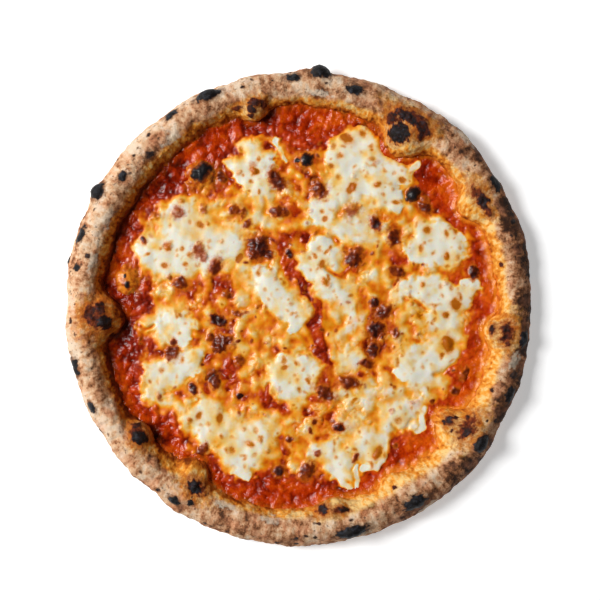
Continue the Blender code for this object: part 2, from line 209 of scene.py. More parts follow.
# How rich the cheese is away from the pools: x, y, half-sizes in x and y, richness (0 bare sauce, 1 white).
RICHNESS = [
    (36, 51, 17, 9, 0.30), (52, 44, 12, 6, 0.10), (-86, -50, 22, 18, 0.24), (-62, -62, 14, 8, 0.14),
    (45, -57, 16, 9, 0.18), (62, -62, 22, 16, 0.24), (40, -95, 24, 12, 0.22), (30, -35, 14, 9, 0.22),
    (60, 12, 12, 8, 0.15), (90, -14, 12, 8, 0.2), (-62, -8, 12, 10, 0.12), (-48, 66, 12, 12, 0.18),
    (-30, 68, 12, 8, 0.15), (-45, 46, 12, 10, 0.14), (-38, -84, 22, 16, 0.16), (40, -10, 9, 12, 0.22),
    (25, -12, 9, 12, 0.16), (14, -100, 14, 10, 0.14), (-8, -40, 20, 18, 0.12), (-70, 4, 12, 10, 0.1),
    (-20, -30, 12, 9, 0.08), (80, -45, 24, 12, 0.14), (12, 10, 30, 30, 0.03), (-35, 28, 9, 9, 0.08),
    (75, 40, 12, 22, 0.1), (-62, -26, 20, 10, 0.1), (-30, -48, 12, 10, 0.02), (-35, 10, 16, 9, 0.05),
    (28, 72, 9, 9, 0.2), (-72, -32, 14, 10, 0.15), (-10, 92, 10, 14, -0.08), (-6, 58, 16, 6, 0.16),
    (-32, 55, 12, 7, 0.16), (-22, 45, 14, 7, -0.12), (-10, 38, 10, 8, -0.16), (-30, -58, 18, 8, -0.05),
    (47, 13, 11, 9, 0.2), (52, -20, 6, 20, -0.16), (-46, -6, 7, 12, 0.04), (-46, -42, 8, 20, -0.14),
    (60, 30, 10, 8, -0.04), (8, -72, 16, 10, 0.02), (28, -70, 16, 10, 0.08), (70, 62, 12, 6, -0.08),
    (0, -90, 10, 8, -0.06), (-90, 17, 12, 5, 0.16), (74, -14, 7, 10, 0.2), (-24, -24, 12, 6, 0.12),
    (11, -46, 5, 6, 0.2), (-70, -88, 8, 7, 0.35), (-42, -106, 10, 6, 0.3), (-3, -107, 9, 7, 0.32),
    (30, -113, 7, 8, 0.3), (73, -76, 12, 8, 0.35), (-72, -4, 6, 10, -0.35), (-57, -32, 5, 12, -0.35),
    (-75, -55, 7, 8, -0.2), (-105, 8, 6, 5, -0.5), (-42, 103, 6, 6, -0.5), (-20, 108, 7, 5, -0.6),
    (8, 92, 7, 5, -0.3), (18, 1, 8, 4, -0.35), (-10, -84, 5, 8, -0.2), (24, -48, 8, 5, -0.16),
    (2, 50, 8, 4, -0.2), (-18, -13, 8, 4, -0.15), (106, 19, 7, 7, -0.35), (-32, 5, 4, 6, 0.2),
    (-73, 54, 12, 9, -0.2), (-54, -88, 15, 14, -0.2), (-54, 55, 8, 8, -0.14), (-90, -54, 10, 8, -0.18),
    (-36, -91, 9, 7, -0.08), (-91, 55, 7, 8, -0.12), (36, 54, 8, 7, -0.12), (-90, 18, 8, 6, 0.16),
    (90, 18, 8, 7, 0.42), (90, -18, 8, 7, 0.22), (-18, 54, 10, 6, 0.2), (-36, 73, 9, 7, 0.14),
    (-53, 88, 7, 8, -0.35), (-105, 2, 7, 10, -0.2), (92, -54, 10, 8, -0.12), (18, -108, 8, 7, -0.14),
    (-54, -72, 9, 8, -0.14), (-74, -70, 8, 8, -0.12), (-88, 55, 7, 8, -0.1), (36, -90, 8, 8, -0.14),
    (55, -73, 8, 7, -0.1), (-54, 18, 8, 7, 0.12), (72, -18, 7, 8, 0.1), (54, 20, 7, 6, 0.1),
    (0, -72, 9, 6, -0.06),
]
# Runs where the sauce shows in the middle: its points, half-width, how much it takes away.
SAUCE_RUNS = [
    ([(-8, 30), (-1, 20), (5, 10), (11, 2), (10, -12), (12, -28), (18, -37), (15, -52)], 3.0, 0.42),
    ([(-50, 20), (-44, 5), (-48, -14), (-50, -30), (-44, -44), (-38, -58)], 3.4, 0.22),
    ([(52, 2), (50, -15), (47, -32), (42, -42)], 3.4, 0.32),
    ([(-20, 58), (-20, 48), (-12, 38), (-5, 34)], 5, 0.12),
    ([(-100, 18), (-82, 14), (-62, 18), (-52, 24)], 3.0, 0.1),
    ([(18, 27), (26, 22), (36, 26)], 2.4, 0.35),
    ([(-62, -12), (-70, -22), (-84, -31), (-98, -28)], 3, 0.16),
    ([(62, 22), (58, 12), (64, -14)], 3, 0.1),
    ([(-12, -66), (4, -68), (18, -62)], 3.4, 0.2),
]
# Narrow creases where two melted pieces meet: its points, half-width.
CREASES = [
    ([(-2, 43), (6, 48), (14, 50.5), (20, 49), (27, 43), (34, 38), (42, 33)], 2.0),
    ([(58, 10), (64, 16), (71, 22)], 1.3),
    ([(-29, 48), (-25, 58), (-22, 68), (-24, 73)], 1.6),
    ([(17, 26), (24, 22), (31, 20)], 1.5),
    ([(38, 18), (45, 23), (50, 28)], 1.2),
    ([(-108, -12), (-103, -15), (-98, -12)], 1.2),
    ([(62, -78), (66, -82), (72, -80), (75, -74)], 1.2),
    ([(-20, -50), (-22, -58), (-16, -64)], 1.2),
    ([(84, -2), (78, 4), (70, 6)], 1.5),
    ([(90, -45), (97, -44), (104, -40)], 1.5),
]
# Strings of white cheese that lie across the sauce and the melt: their points, half-width.
STRANDS = [
    ([(57, -89), (55, -99), (52, -106), (43, -106)], 1.6),
    ([(82, -67), (83, -73.5), (83, -80), (78.5, -83)], 1.5),
    ([(38, -106), (39, -115), (35, -122), (29.5, -118), (27, -110)], 1.3),
    ([(69, 83), (74, 89), (79, 95.5)], 1.5),
    ([(-34, -113), (-44, -110)], 1.6),
    ([(118, 12), (116, 17), (110, 17)], 1.8),
    ([(-10, 99), (-12, 106), (-14, 113)], 1.2),
    ([(107, 50), (109, 46)], 1.5),
]
# Where the cheese ends and the ring of bare sauce begins, every 5 degrees from 0.
CHEESE_REACH = [
    119, 121, 114, 113, 121, 122, 115, 111, 108, 107, 121, 118,
    119, 124, 129, 121, 109, 105, 106, 112, 116, 113, 119, 111,
    104, 107, 104, 105, 112, 115, 118, 116, 115, 112, 104, 101,
    102, 107, 108, 107, 109, 116, 120, 116, 107, 111, 114, 115,
    112, 119, 120, 116, 107, 108, 112, 112, 114, 124, 114, 117,
    112, 106, 109, 114, 109, 111, 112, 112, 112, 113, 113, 116,
]
SPILL = 10  # how far past that the thinnest of the melt runs over the sauce
POOL_REACH = 14  # how far from a white pool the melt still feels it
# What the dough's material reads on its floor and underside, where it isn't 0.
OFF_THE_RIM = dict(browned=0.5, drop=1.0, toast=0.5, under=1.0)

# ---------------------------------------------------------------- what is strewn by chance besides

SMALL_CHARS = 150
CREST = (142, 158)  # the radii between which they lie
SMALL_BLISTERS = 110
BLISTER_LIMIT = 112  # how far out they lie
SMALL_EYES = 220
EYE_LIMIT = 116
SMALL_BLISTER = 1.7  # one smaller than this stays paler on white

# ---------------------------------------------------------------- studio, in metres

WINDOW_PLACE = (-1.688, 0.421, 1.932)
WINDOW_SIZE = 1.0
WINDOW_POWER = 87
ROOM_LIGHT = 0.17
OVERHEAD_LIGHT = 0.01
ROOM_COLOUR = (1, 0.985, 0.97, 1)
CAMERA_PLACE = (0.0003, 0.005, 1.007)
CAMERA_LENS = 90
FLOOR_HALF_SIZE = 9
FLOOR_LEVEL = -0.0004
# The floor glows a little, so that the shadow beside the pizza stays light.
FLOOR_LOOK = dict(
    Base_Color=(0.8, 0.8, 0.8, 1), Roughness=0.9, Emission_Color=(1, 1, 1, 1), Emission_Strength=0.42
)


def smooth(value, low, high):
    """0 below low, 1 above high, and an even curve between."""
    t = np.clip((value - low) / (high - low), 0, 1)
    return t * t * (3 - 2 * t)


def raise_to(values, where, level):
    """Lifts the values there to at least that level."""
    values[where] = np.maximum(values[where], level)


# ---------------------------------------------------------------- noise


def wander(points, size, seed, octaves=3):
    """Soft noise of about -1 to 1 at each point, in lumps of that size."""
    shift = Vector((seed * 31.7, seed * 11.3, seed * 47.9))
    spread = points / size
    return np.array([noise.fractal(Vector(p) + shift, 1.0, 2.0, octaves) for p in spread])


def lumps(points, size, seed):
    """Rounded lumps of about that size side by side: 1 on top of one, 0 in the gaps."""
    shift = Vector((seed * 13.1, seed * 29.7, seed * 7.7))
    spread = points / size
    near = np.array([noise.voronoi(Vector(p) + shift)[0][0] for p in spread])
    return np.clip(1 - near * near * 1.6, 0, 1)


def clods(points, size, seed):
    """Uneven soft clods parted by creases: near 1 on top of one, 0 in a crease."""
    return np.clip(np.abs(wander(points, size, seed, 2)) * 2.6, 0, 1) ** 0.7


def warped_by(points, size, seed):
    """Soft noise of about -1 to 1 in x and in y at each point, for pushing a pattern out of true."""
    sideways, upwards = wander(points, size, seed), wander(points, size, seed + 0.5)
    return np.stack([sideways, upwards, np.zeros(len(points))], -1)


# ---------------------------------------------------------------- places round the pizza


def radius_of(points):
    """How far each point lies from the middle, in plan."""
    return np.hypot(points[..., 0], points[..., 1])


def heading_of(points):
    """The angle at which each point lies round the pizza."""
    return np.degrees(np.arctan2(points[..., 1], points[..., 0]))


def on_ring(degrees, radius, height=0.0):
    """Points on a circle round the middle."""
    angle = np.radians(degrees)
    level = np.broadcast_to(height, np.shape(angle))
    return np.stack([radius * np.cos(angle), radius * np.sin(angle), level], -1)


def gap_between(degrees, where):
    """The angle from one heading to another, -180 to 180."""
    return np.mod(degrees - where + 180, 360) - 180


def along_ring(values, degrees):
    """The value at an angle, between values spaced evenly round the circle."""
    stops = np.linspace(0, 360, len(values) + 1)
    return np.interp(np.mod(degrees, 360), stops, [*values, values[0]])


def away_from_line(points, start, end):
    """Distance in plan from each point to one straight stretch."""
    start, along = np.array(start, float), np.subtract(end, start)
    offset = points[:, :2] - start
    t = np.clip(offset @ along / (along @ along), 0, 1)
    return np.linalg.norm(offset - t[:, None] * along, axis=1)


def away_from(points, run):
    """Distance in plan from each point to a run of straight stretches."""
    return np.min([away_from_line(points, start, end) for start, end in zip(run, run[1:])], axis=0)


# ---------------------------------------------------------------- meshes


def merged_copy(node):
    """A CAD node's mesh with its loose triangles joined."""
    bm = bmesh.new()
    bm.from_mesh(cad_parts[node].data)
    bmesh.ops.remove_doubles(bm, verts=bm.verts, dist=TOUCHING)
    return bm


def mesh_points(mesh):
    flat = np.empty(len(mesh.vertices) * 3, np.float32)
    mesh.vertices.foreach_get("co", flat)
    return flat.reshape(-1, 3).astype(float) / MM


def set_points(mesh, points):
    mesh.vertices.foreach_set("co", (points * MM).astype(np.float32).ravel())
    mesh.update()


def set_values(mesh, **values):
    """Stores a number for each vertex under each name, for the materials to read."""
    for name, numbers in values.items():
        layer = mesh.attributes.new(name, "FLOAT", "POINT")
        layer.data.foreach_set("value", np.asarray(numbers, np.float32))


def taken_numbers(mesh):
    """The whole numbers that number_verts left on the vertices, which then go."""
    numbers = np.empty(len(mesh.vertices), np.int32)
    layer = mesh.attributes["number"]
    layer.data.foreach_get("value", numbers)
    mesh.attributes.remove(layer)
    return numbers


def number_verts(bm):
    """Numbers the vertices in order. What is then spun or extruded from one shares its number."""
    layer = bm.verts.layers.int.new("number")
    for number, vert in enumerate(bm.verts):
        vert[layer] = number


def set_in_scene(name, data, place=(0, 0, 0)):
    obj = bpy.data.objects.new(name, data)
    obj.location = place
    bpy.context.scene.collection.objects.link(obj)
    return obj


def finished(name, bm, replaces):
    """Turns a bmesh into a piece that rides with the pizza."""
    bmesh.ops.recalc_face_normals(bm, faces=bm.faces)
    mesh = bpy.data.meshes.new(name)
    bm.to_mesh(mesh)
    bm.free()
    mesh.shade_smooth()
    obj = set_in_scene(name, mesh)
    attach(obj, "root")
    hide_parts(*replaces)
    return obj


# ---------------------------------------------------------------- dough


def spun_dough(profile):
    """The dough turned from its profile. Each vertex keeps the number of its point there."""
    bm = bmesh.new()
    verts = [bm.verts.new(Vector((radius, 0, height)) * MM) for radius, height in profile]
    for pair in zip(verts, verts[1:]):
        bm.edges.new(pair)
    number_verts(bm)
    full_turn = dict(cent=(0, 0, 0), axis=(0, 0, 1), angle=math.tau, steps=RIM_STEPS, use_merge=True)
    bmesh.ops.spin(bm, geom=bm.verts[:] + bm.edges[:], **full_turn)
    bmesh.ops.remove_doubles(bm, verts=bm.verts, dist=TOUCHING)
    return finished("dough_crust", bm, ["dough"])


def wrap_rim(turned):
    """Casts each point of the turned rim outwards from the rim's core onto the CAD dough."""
    bm = merged_copy("dough")
    tree = BVHTree.FromBMesh(bm)
    bm.free()
    wrapped = turned.copy()
    for step, ring in enumerate(turned):
        core = Vector(on_ring(RIM_ANGLES[step], CORE, CORE_HEIGHT)) * MM
        for place, point in enumerate(ring):
            hit = tree.ray_cast(core, Vector(point) * MM - core)[0]
            wrapped[step, place] = hit / MM
    return wrapped


def softened(grid, passes):
    """Evens a grid of points that closes round its first way."""
    for _ in range(passes):
        sides = (np.roll(grid, 1, 0) + np.roll(grid, -1, 0)) / 2
        grid = grid * 0.5 + sides * 0.5
        middle = grid[:, 1:-1]
        grid[:, 1:-1] = middle * 0.5 + (grid[:, 2:] + grid[:, :-2]) * 0.25
    return grid


def normals_of(grid):
    """The direction straight out of the rim at each point of its grid."""
    around = np.roll(grid, -1, 0) - np.roll(grid, 1, 0)
    across = np.gradient(grid, axis=1)
    normal = np.cross(across, around)
    normal /= np.linalg.norm(normal, axis=2, keepdims=True) + 1e-9
    outwards = grid - on_ring(RIM_ANGLES, CORE, CORE_HEIGHT)[:, None]
    return normal * np.sign((normal * outwards).sum(2, keepdims=True))


def spot_mask(points, middle, degrees, along, across, ragged, soft):
    """1 inside a spot on the rim, 0 outside, and how far out each point lies: 1 near the spot's edge."""
    offset = points - middle
    angle = math.radians(degrees)
    outwards = np.array([math.cos(angle), math.sin(angle), 0])
    around = offset @ (-outwards[1], outwards[0], 0)
    rest = np.hypot(offset @ outwards, offset[:, 2] * 0.5)
    reach = np.hypot(around / along, rest / across)
    return smooth(1.25 + ragged * 0.5 - reach, 0, soft), reach


def patches(points, places, ragged):
    """1 inside the given patches on the rim, fading out over their ragged edges."""
    radius, heading = radius_of(points), heading_of(points)
    filled = np.zeros(len(points))
    for where, middle, along, across in places:
        around = np.radians(gap_between(heading, where)) * middle
        reach = np.hypot(around / along, (radius - middle) / across)
        raise_to(filled, ..., smooth(1.5 - reach + ragged * 0.7, 0, 1.3))
    return filled


def char_spots():
    """Every char spot: angle, radius, half-length, half-width, how proud, how tan, if it warms the wall."""
    spots = [(*spot, 0 if spot[4] else 0.35, False) for spot in RIM_CHARS]
    for where, radius, along, across, tan in BUBBLE_CHARS:
        spots.append((where, radius, along * 1.1, across * 1.1, 0.1, tan + 0.1, True))
    dice = random.Random(5)
    for _ in range(SMALL_CHARS):
        size = dice.uniform(0.45, 1.2)
        along = size * dice.uniform(0.8, 1.9)
        where, radius = dice.uniform(0, 360), dice.uniform(*CREST)
        spots.append((where, radius, along, size, 0, dice.uniform(0.5, 1), False))
    return spots


def charred(grid, height, ragged, knobs):
    """How burnt each point of the rim is, and how warm beside a charred bubble. Raises the height there."""
    flat = grid.reshape(-1, 3)
    surface = radius_of(grid)
    # The parts of the section that face in and out.
    inside = np.arange(RIM_SECTION // 20, RIM_SECTION * 11 // 20)
    outside = np.arange(RIM_SECTION * 9 // 20, RIM_SECTION * 17 // 20)
    char, brown, halo, warm = np.zeros((4, len(flat)))
    for where, radius, along, across, proud, tan, warms in char_spots():
        row = int(round(where * RIM_STEPS / 360)) % RIM_STEPS
        side = inside[grid[row, inside, 2] > SAUCE + 0.5] if radius < CORE + 3 else outside
        column = side[np.argmin(np.abs(surface[row, side] - radius))]
        middle = grid[row, column]
        close = np.flatnonzero(np.abs(flat - middle).max(1) < max(along, across) * 3)
        rough = ragged[close]
        mask, reach = spot_mask(flat[close], middle, where, along, across, rough, 0.45 + tan * 0.7)
        raise_to(char, close, mask * (1 - tan))
        raise_to(brown, close, mask * (1 - tan * 0.4))
        raise_to(halo, close, smooth(2.1 - reach + rough * 0.5, 0, 1.2) * min(1, across / 2.5))
        if warms:
            raise_to(warm, close, smooth(2.2 - reach + rough * 0.6, 0, 1.3))
        height[close] += (proud + min(across, 4) * 0.18) * np.clip(1.1 - reach**2, 0, 1)
        height[close] += (0.2 + tan * 1.6) * (knobs[close] - 0.4) * mask * (across > 1.8)
    return dict(char=char, brown=brown, halo=halo), warm


def rim_tones(flat, turn, fibres, ragged, warm):
    """What colours the rim at each point, apart from its char. Turn is the angle round its section."""
    heading = heading_of(flat)
    # Darkening of the inner wall: baked brown and oil, with painted shade on the left, away from the
    # window.
    browned = along_ring(WALL_BROWN_AND_SHADE, heading)
    golden = patches(flat, GOLDEN, ragged) * smooth(turn, 88, 108)
    wall = smooth(turn + wander(flat, 12, 6, 3) * 16, 110 + 4 * browned, 138 + 8 * browned)
    raise_to(wall, ..., np.maximum(golden, warm * 0.95))
    stain_top = SAUCE + 4.5 + 5.5 * browned
    stain = smooth(stain_top - flat[:, 2] + wander(flat, 6, 7) * 3, 0, 8) * smooth(turn, 110, 125)
    streaks = wander(fibres, 2.2, 10, 3)
    toast = 0.4 + wander(flat, 13, 8, 4) * 0.5 + streaks * 0.34
    toast += 0.08 * smooth(turn, 60, 120)
    # Painted shade: the outer wall darker on the side away from the window, with some baked brown.
    toast += (along_ring(OUTER_BROWN_AND_SHADE, heading) - 0.2) * smooth(130 - turn, 0, 88)
    return dict(
        wall=wall,
        stain=stain * (1 - golden * 0.7),
        browned=browned,
        golden=golden,
        drop=smooth(17.5 - flat[:, 2], 0, 9),
        streaks=streaks,
        toast=toast,
        under=smooth(3.5 - flat[:, 2], 0, 3) * (turn < 0),
        flour=patches(flat, FLOUR, ragged) * (flat[:, 2] > 8),
    )


def make_dough():
    """The dough, and the radius at which its rim comes out of the sauce, all the way round."""
    turn = np.linspace(*SECTION_TURN, RIM_SECTION)
    angle = np.radians(turn)
    rim = np.stack([CORE + TURNED_RADIUS * np.cos(angle), CORE_HEIGHT + TURNED_RADIUS * np.sin(angle)], -1)
    floor = [(radius, FLOOR) for radius in FLOOR_RADII]
    underside = [(radius, 0) for radius in UNDERSIDE_RADII]
    dough = spun_dough(np.concatenate([floor, rim, underside]))
    mesh = dough.data
    ring = taken_numbers(mesh)
    points = mesh_points(mesh)
    step = np.round(heading_of(points) * RIM_STEPS / 360).astype(int) % RIM_STEPS

    grid = wrap_rim(np.stack([on_ring(RIM_ANGLES, radius, height) for radius, height in rim], 1))
    inner = np.arange(RIM_SECTION)[None, :] < RIM_SECTION // 3
    grid[..., 2] = np.where(inner & (grid[..., 2] < FLOOR), FLOOR, grid[..., 2])
    grid = softened(grid, passes=16)
    flat = grid.reshape(-1, 3)

    # Puffs, dents and the pimply skin, then the char. Noise on the fibres runs in streaks over the rim.
    fibres = np.repeat(on_ring(RIM_ANGLES, CORE), RIM_SECTION, 0)
    fibres[:, 2] = (radius_of(flat) + flat[:, 2]) * 0.4
    soft = wander(flat, 26, 1, 2) * 1.5 + wander(flat, 10, 2, 3) * 0.9
    soft += wander(flat, 4.2, 3, 3) * 0.42 + wander(fibres, 2.6, 9, 3) * 0.4
    height = soft * smooth(flat[:, 2], 0.2, 4)
    ragged = wander(flat, 2.6, 4, 3)
    burnt, warm = charred(grid, height, ragged, lumps(flat, 3.6, 11))
    grid += normals_of(grid) * height.reshape(grid.shape[:2])[..., None]
    grid[..., 2] = np.maximum(grid[..., 2], 0)
    flat = grid.reshape(-1, 3)
    tones = rim_tones(flat, np.tile(turn, RIM_STEPS), fibres, ragged, warm)

    # Each vertex takes its place and values from the wrapped rim, or lies on the flat floor or underside.
    first, last = len(floor), len(floor) + RIM_SECTION
    on_rim = (ring >= first) & (ring < last)
    place = step[on_rim] * RIM_SECTION + ring[on_rim] - first
    points[on_rim] = flat[place]
    foot = radius_of(grid)[:, : RIM_SECTION // 3].min(1)
    on_floor = (ring < first) & (ring > 0)
    shrink = (foot[step[on_floor]] - 2) / TURNED_FOOT
    points[on_floor, :2] *= np.minimum(shrink, 1)[:, None]
    set_points(mesh, points)
    for name, values in {**tones, **burnt}.items():
        full = np.full(len(points), OFF_THE_RIM.get(name, 0.0))
        full[on_rim] = values[place]
        set_values(mesh, **{name: full})

    level = grid[:, : RIM_SECTION // 2]
    crossing = np.argmax(level[..., 2] > SAUCE + 0.5, axis=1)
    return dough, radius_of(level)[np.arange(RIM_STEPS), crossing]


# ---------------------------------------------------------------- sauce and cheese


def pool_depths(points):
    """How far inside the nearest CAD piece of cheese each point lies in plan: negative outside."""
    deepest = np.full(len(points), -1e3)
    for name in CHEESE_NODES:
        bm = merged_copy(name)
        lowest = min(vert.co.z for vert in bm.verts)
        # A piece is widest at the first level above its underside.
        widest = min(round(vert.co.z / MM, 2) for vert in bm.verts if vert.co.z > lowest + 0.01 * MM)
        outline = [
            [np.array(vert.co.xy / MM) for vert in edge.verts]
            for edge in bm.edges
            if all(abs(vert.co.z / MM - widest) < 0.02 for vert in edge.verts)
        ]
        bm.free()
        low, high = (np.array(corner)[:2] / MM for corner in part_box(name))
        within = (points[:, :2] > low - POOL_REACH) & (points[:, :2] < high + POOL_REACH)
        close = np.flatnonzero(within.all(1))
        here = points[close, :2]
        nearest = np.full(len(here), 1e3)
        inside = np.zeros(len(here), bool)
        for start, end in outline:
            nearest = np.minimum(nearest, away_from_line(here, start, end))
            along = end - start
            rise = along[1] if abs(along[1]) > 1e-9 else 1e-9
            crosses = start[0] + (here[:, 1] - start[1]) / rise * along[0]
            spans = (start[1] > here[:, 1]) != (end[1] > here[:, 1])
            inside ^= spans & (here[:, 0] < crosses)
        raise_to(deepest, close, np.where(inside, nearest, -nearest))
    return deepest


def sheet(name, replaces, spacing, covers, relief):
    """A closed relief sheet.

    Covers says which points in plan it covers. Relief gives how high it stands there, and the values to
    store. The skirt that goes down from its edge shares the edge's values.
    """
    size = int(2 * SHEET_HALF_SIZE / spacing)
    bm = bmesh.new()
    bmesh.ops.create_grid(bm, x_segments=size, y_segments=size, size=size * spacing / 2 * MM)

    def plan():
        return np.array([vert.co for vert in bm.verts]) / MM

    bare = [vert for vert, covered in zip(bm.verts, covers(plan())) if not covered]
    bmesh.ops.delete(bm, geom=bare, context="VERTS")
    loose = [vert for vert in bm.verts if not vert.link_faces]
    bmesh.ops.delete(bm, geom=loose, context="VERTS")
    number_verts(bm)
    tops, values = relief(plan())
    for vert, top in zip(bm.verts, tops):
        vert.co.z = top * MM
    border = [edge for edge in bm.edges if edge.is_boundary]
    skirt = bmesh.ops.extrude_edge_only(bm, edges=border)["geom"]
    for vert in (item for item in skirt if isinstance(item, bmesh.types.BMVert)):
        vert.co.z = SKIRT_END * MM
    bmesh.ops.holes_fill(bm, edges=[edge for edge in bm.edges if edge.is_boundary])
    obj = finished(name, bm, replaces)
    place = taken_numbers(obj.data)
    set_values(obj.data, **{key: value[place] for key, value in values.items()})
    return obj


def sauce_relief(points, feet):
    """Height of the sauce, which climbs a little at the foot of the rim, and of its pulp, 0 to 1."""
    heading = heading_of(points)
    climb = smooth(radius_of(points) - along_ring(feet, heading), -6, 1.5)
    warped = points + warped_by(points, 9, 21) * 3.2
    pulp = 0.35 * clods(warped, 14, 28) + 0.45 * lumps(warped, 6, 1) + 0.2 * clods(warped, 5.5, 24)
    tall = 3.0 - 1.4 * along_ring(SAUCE_ORANGE, heading)
    rough = wander(points, 22, 23, 2) * 0.5 + wander(points, 2.6, 29, 2) * 0.3
    return SAUCE + 0.2 + (pulp - 0.5) * tall + rough + climb * 1.3, pulp


def sauce_tones(points, feet, pulp):
    """What colours the sauce: its pulp, how orange it is, and the oil at the foot of the rim."""
    radius, heading = radius_of(points), heading_of(points)
    gap = radius - along_ring(feet, heading)
    orange = along_ring(SAUCE_ORANGE, heading)
    lighter = np.zeros(len(points))
    for where, middle, along, across, added in SAUCE_PATCHES:
        around = np.radians(gap_between(heading, where)) * middle
        lighter += added * np.exp(-((around / along) ** 2) - ((radius - middle) / across) ** 2)
    ring = (orange - 0.2) * smooth(radius, 60, 105)
    return dict(
        pulp=pulp,
        oily=smooth(gap + wander(points, 9, 25) * 5, -11, 0) * (0.3 + 0.8 * orange),
        foot=smooth(gap + wander(points, 5, 26) * 1.5, -5, 0) * orange,
        toned=wander(points, 16, 27, 3) * 0.8 + 0.2 + ring + lighter,
    )


def melt_limit(points, feet):
    """How far out the sheet of melt runs at each point's angle."""
    heading = heading_of(points)
    return np.minimum(along_ring(CHEESE_REACH, heading) + SPILL, along_ring(feet, heading) - 1.5)


def make_sauce(feet):
    """The sauce. Feet holds the radius at which the rim comes out of it, all the way round."""

    def covers(points):
        return radius_of(points) < along_ring(feet, heading_of(points)) + 2

    def relief(points):
        height, pulp = sauce_relief(points, feet)
        under_melt = smooth(melt_limit(points, feet) - radius_of(points), 3, 9)
        return np.maximum(height - under_melt * 3.2, FLOOR + 1), sauce_tones(points, feet, pulp)

    return sheet("tomato_sauce_layer", ["tomato_sauce"], SAUCE_SPACING, covers, relief)


def richness_of(points):
    """How rich the melt is (0 bare, 0.5 golden), how white, how far inside a CAD piece, and how creased."""
    warp = warped_by(points, 13, 31) * 3.0 + warped_by(points, 4.5, 33) * 0.9
    moved = points + warp
    depth = pool_depths(moved)
    softness = np.clip(6.5 + 11 * wander(points, 26, 37, 2), 1.5, 13)
    ragged = wander(points, 8, 36, 3) * 2.2 + wander(points, 3.8, 62, 2) * 2.4
    white = smooth(depth + ragged, -0.8 * softness, softness)
    base = 0.43 + 0.3 * wander(points, 16, 35, 2)
    for x, y, wide, long, added in RICHNESS:
        spread = np.exp(-(((moved[:, 0] - x) / wide) ** 2 + ((moved[:, 1] - y) / long) ** 2))
        base += added * spread
        white *= 1 + 1.6 * min(added, 0) * spread
    for run, half, taken in SAUCE_RUNS:
        base -= taken * smooth(2.1 - away_from(moved, run) / half, 0, 1.8)
    crease = np.zeros(len(points))
    for run, half in CREASES:
        raise_to(crease, ..., smooth(2 - away_from(points + warp * 0.4, run) / half, 0, 2))
    white *= 1 - crease * 0.8
    shore = along_ring(CHEESE_REACH, heading_of(moved)) - radius_of(moved)
    white *= 0.35 + 0.65 * smooth(shore + wander(points, 4, 38) * 5, -3, 5)
    for run, half in STRANDS:
        raise_to(white, ..., smooth(2 - away_from(moved, run) / half, 0, 1.1))
    base -= crease * 0.12
    base *= smooth(shore + wander(points, 7, 39) * 3, -8, 6)
    return np.maximum(base, 0), np.clip(white, 0, 1), depth, crease


def scattered(dice, count, limit, *spans):
    """Small spots strewn evenly within a circle: x, y, then a number from each span."""
    spots = []
    for _ in range(count):
        angle, radius = dice.uniform(0, 360), limit * math.sqrt(dice.random())
        spots.append((*on_ring(angle, radius)[:2], *(dice.uniform(*span) for span in spans)))
    return spots


def oval_reach(points, x, y, size, dice, ragged, share):
    """The points near one oval spot, and how far out each lies: 1 on its ragged edge."""
    turn, long = dice.uniform(0, math.pi), dice.uniform(1, 1.35)
    across, up = points[:, 0] - x, points[:, 1] - y
    close = np.flatnonzero(np.maximum(np.abs(across), np.abs(up)) < size * 3.4)
    across, up = across[close], up[close]
    first = (across * math.cos(turn) + up * math.sin(turn)) / (size * long)
    second = (up * math.cos(turn) - across * math.sin(turn)) / (size / long)
    return close, np.hypot(first, second) * (1 + ragged[close] * share)


def add_blisters(points, spots, dice, ragged, height, values):
    """The cheese's browned bubbles: knobbly domes."""
    fine = wander(points, 2.2, 42, 2)
    knobs = lumps(points + warped_by(points, 6, 51) * 1.2, 3.6, 50)
    for x, y, size, dark in spots:
        close, reach = oval_reach(points, x, y, size * 1.25, dice, ragged, 0.35)
        dome = np.sqrt(np.clip(1 - reach**2, 0, 1))
        tint = dark * (1.25 - 0.4 * knobs[close] + 0.25 * fine[close])
        if size < SMALL_BLISTER:
            tint *= 1 - 0.65 * values["white"][close]
        raise_to(values["brown"], close, tint * smooth(1.5 - reach, 0, 1.0))
        raise_to(values["halo"], close, dark * smooth(2.2 - reach, 0, 1.4))
        height[close] += min(size, 4) * 0.2 * dome + (knobs[close] - 0.3) * min(size, 2.5) * 0.36 * dome


def add_eyes(points, spots, dice, height, values):
    """Golden eyes in the white: some are small domes and the others small dips."""
    blurred = wander(points, 4.5, 52, 2)
    for x, y, size in spots:
        close, reach = oval_reach(points, x, y, size * 1.1, dice, blurred, 0.3)
        strength = min(1.15, 0.3 + size * 0.3) * smooth(values["rich"][close], 0.3, 0.6)
        strength *= dice.uniform(0.7, 1.1)
        domed = dice.random() < 0.4
        ringed = np.exp(-(((reach - 0.7) / 0.35) ** 2))
        golden = np.exp(-1.5 * reach**2) * 0.55 + 0.2 * ringed + np.exp(-0.4 * reach**2) * 0.45
        raise_to(values["eye"], close, golden * strength)
        middle = np.clip(1 - reach**2, 0, 1) ** 2
        height[close] += min(size, 2.5) * ((0.3 if domed else -0.12) * middle - 0.06 * ringed * strength)


